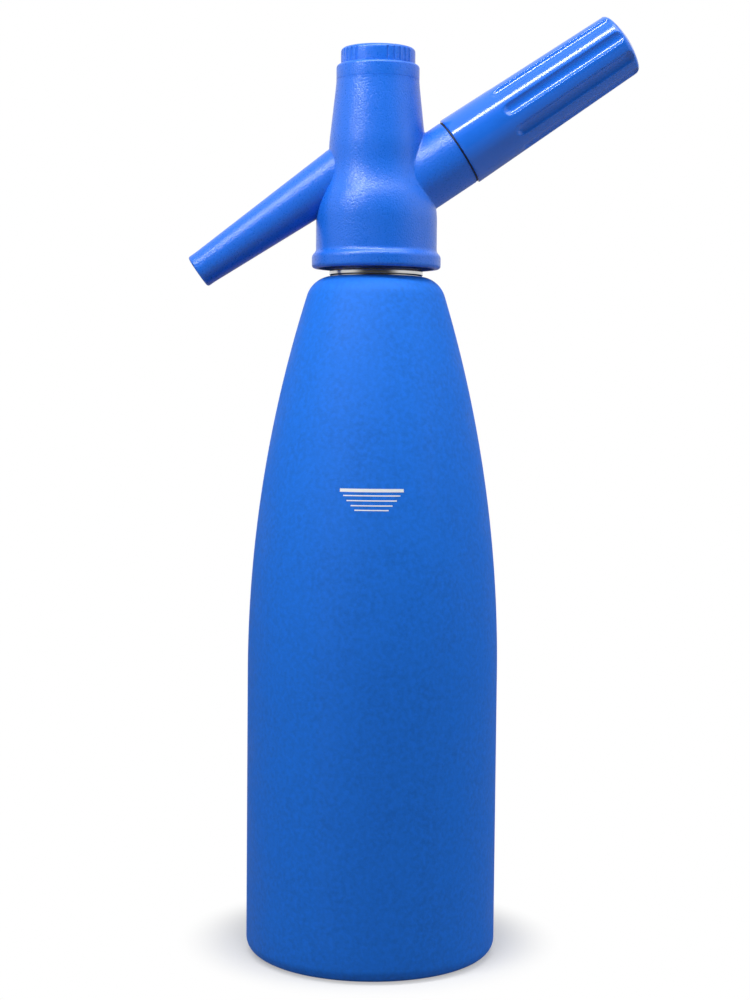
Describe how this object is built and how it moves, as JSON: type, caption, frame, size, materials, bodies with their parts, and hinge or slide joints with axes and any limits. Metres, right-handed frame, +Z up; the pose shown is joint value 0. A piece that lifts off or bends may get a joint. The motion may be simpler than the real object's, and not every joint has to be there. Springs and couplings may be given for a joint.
{
  "type": "soda siphon",
  "caption": "Soda siphon: rubber-coated bottle, screw-on dispensing head with push button, slanted spout and a screwed holder for a gas charger.",
  "frame": {"origin": "centre of the foot ring, on the plane the bottle stands on", "axes": "+Z up along the bottle's axis, +X towards the charger holder, -X towards the spout"},
  "size_m": [0.1641, 0.0928, 0.346],
  "materials": {
    "polished_steel": "polished stainless steel",
    "plain_steel": "drawn or turned stainless steel",
    "plated_steel": "zinc-plated steel",
    "brass": "turned brass, bare",
    "blue_rubber": "matte soft-touch rubber coat, mid blue",
    "blue_plastic": "fine-grained satin plastic, mid blue",
    "blue_gloss_plastic": "smooth glossy plastic, bright blue",
    "clear_plastic": "natural food-grade plastic, milky",
    "black_rubber": "black elastomer"
  },
  "bodies": {
    "bottle": {"bottle": "polished_steel", "rubber_coat": "blue_rubber"},
    "measuring_tube": {"measuring_tube": "clear_plastic"},
    "neck_gasket": {"neck_gasket": "black_rubber"},
    "head": {"head_casing": "blue_plastic", "spout": "blue_plastic", "pouring_tube": "polished_steel", "thread_socket": "brass", "valve_core": "brass", "core_seal": "black_rubber", "core_screws": "plain_steel", "riser_holder": "brass", "riser_seal": "black_rubber", "riser_tube": "polished_steel", "stem_guide": "brass", "stem_seal": "black_rubber", "button_collar": "blue_plastic", "charger_nipple": "brass", "piercing_pin": "plain_steel", "pin_seal": "black_rubber", "check_retainer": "brass", "relief_body": "brass", "relief_cap": "brass", "button_spring": "plain_steel", "valve_spring": "plain_steel", "check_spring": "plain_steel", "relief_spring": "plain_steel"},
    "button": {"push_button": "blue_plastic", "valve_stem": "plain_steel", "valve_disc": "black_rubber"},
    "check_ball": {"check_ball": "plain_steel"},
    "relief_poppet": {"relief_poppet": "black_rubber"},
    "charger": {"gas_charger": "plated_steel"},
    "seam_washer": {"seam_washer": "black_rubber"},
    "holder": {"charger_holder": "blue_gloss_plastic", "holder_bush": "brass"}
  },
  "joints": [
    {"name": "head_lift", "type": "slide", "parent": "bottle", "child": "measuring_tube", "axis": [0, 0, 1], "range_m": [0, 0.27]},
    {"name": "head_rise", "type": "slide", "parent": "measuring_tube", "child": "neck_gasket", "axis": [0, 0, 1], "range_m": [0, 0.009]},
    {"name": "head_turn", "type": "hinge", "parent": "neck_gasket", "child": "head", "pos_m": [0, 0, 0.27], "axis": [0, 0, 1], "range_deg": [0, 1080]},
    {"name": "button_press", "type": "slide", "parent": "head", "child": "button", "axis": [0, 0, -1], "range_m": [0, 0.004], "stiffness_N_per_m": 1500, "springref_m": -0.006, "deforming": ["button_spring", "valve_spring"]},
    {"name": "check_open", "type": "slide", "parent": "head", "child": "check_ball", "axis": [0, 0, -1], "range_m": [0, 0.0008], "stiffness_N_per_m": 200, "springref_m": -0.002, "deforming": ["check_spring"]},
    {"name": "relief_open", "type": "slide", "parent": "head", "child": "relief_poppet", "axis": [0, 0, 1], "range_m": [0, 0.001], "stiffness_N_per_m": 2000, "springref_m": -0.003, "deforming": ["relief_spring"]},
    {"name": "holder_off", "type": "slide", "parent": "head", "child": "charger", "axis": [0.829, 0, 0.5592], "range_m": [0, 0.085]},
    {"name": "holder_rise", "type": "slide", "parent": "charger", "child": "seam_washer", "axis": [0.829, 0, 0.5592], "range_m": [0, 0.012]},
    {"name": "holder_turn", "type": "hinge", "parent": "seam_washer", "child": "holder", "pos_m": [0, 0, 0.2766], "axis": [0.829, 0, 0.5592], "range_deg": [0, 2160]}
  ],
  "couplings": [
    {"joint": "head_rise", "follows": "head_turn", "m_per_rad": 0.00047746},
    {"joint": "holder_turn", "follows": "holder_rise", "rad_per_m": 3141.6}
  ]
}
